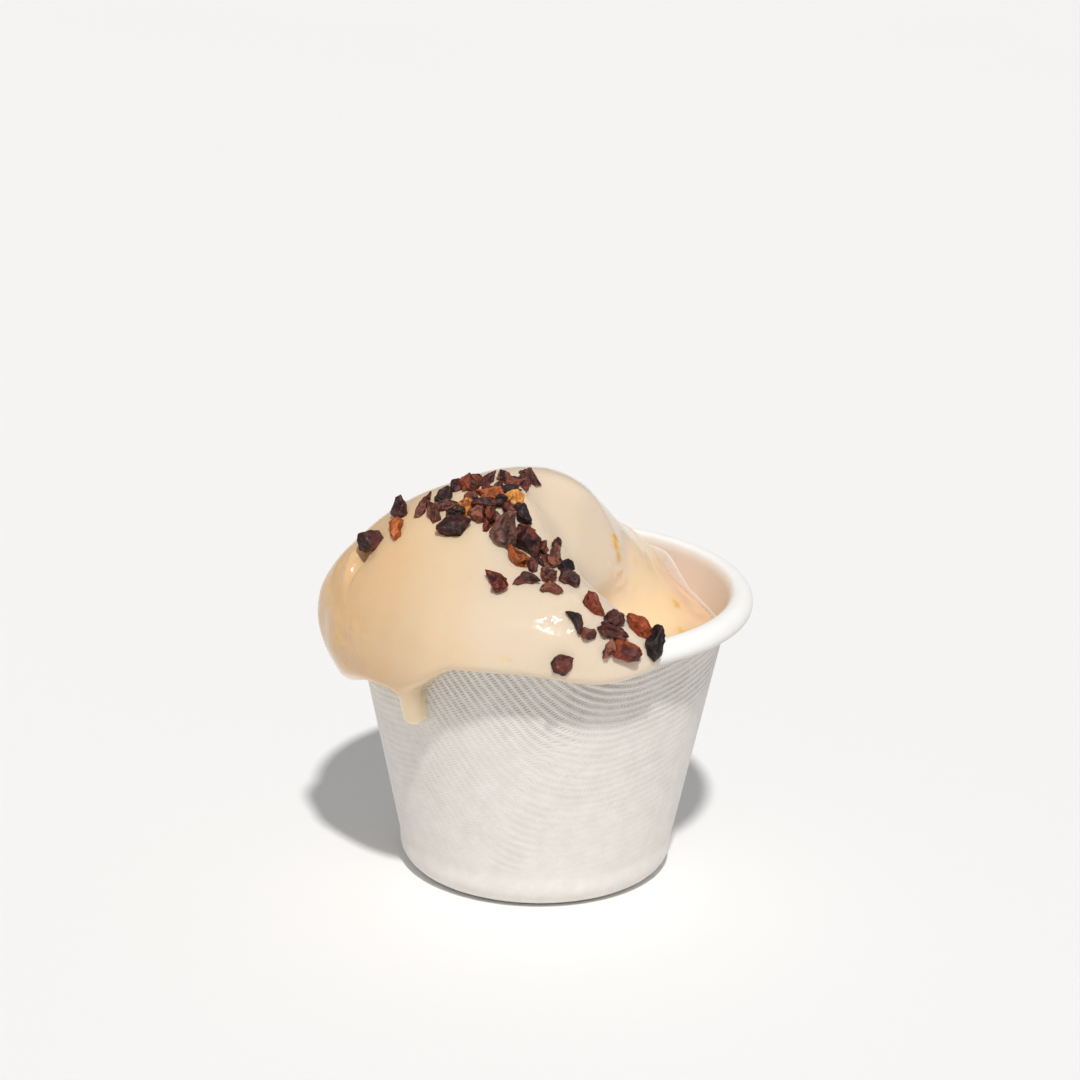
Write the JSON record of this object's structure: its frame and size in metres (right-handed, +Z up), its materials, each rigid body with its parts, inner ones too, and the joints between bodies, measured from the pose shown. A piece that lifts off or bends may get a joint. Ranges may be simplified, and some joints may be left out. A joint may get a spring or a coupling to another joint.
{
  "type": "sorbet tub",
  "caption": "A small paper-fibre tub heaped with pale soft sorbet that leans over the rim and drips, scattered with cocoa nibs.",
  "frame": {"origin": "the middle of the cup's flat underside", "axes": "+Z up along the cup's axis; -Y is the side where the sorbet lies over the rim; +X is the side where the rim is free"},
  "size_m": [0.0917, 0.0911, 0.0882],
  "materials": {
    "fibre": "white pressed paper fibre with the fine weave of its forming screen",
    "cream": "smooth soft sorbet, pale cream, wet and softly glossy"
  },
  "bodies": {
    "root": {"cup": "fibre", "sorbet": "cream"}
  },
  "joints": []
}
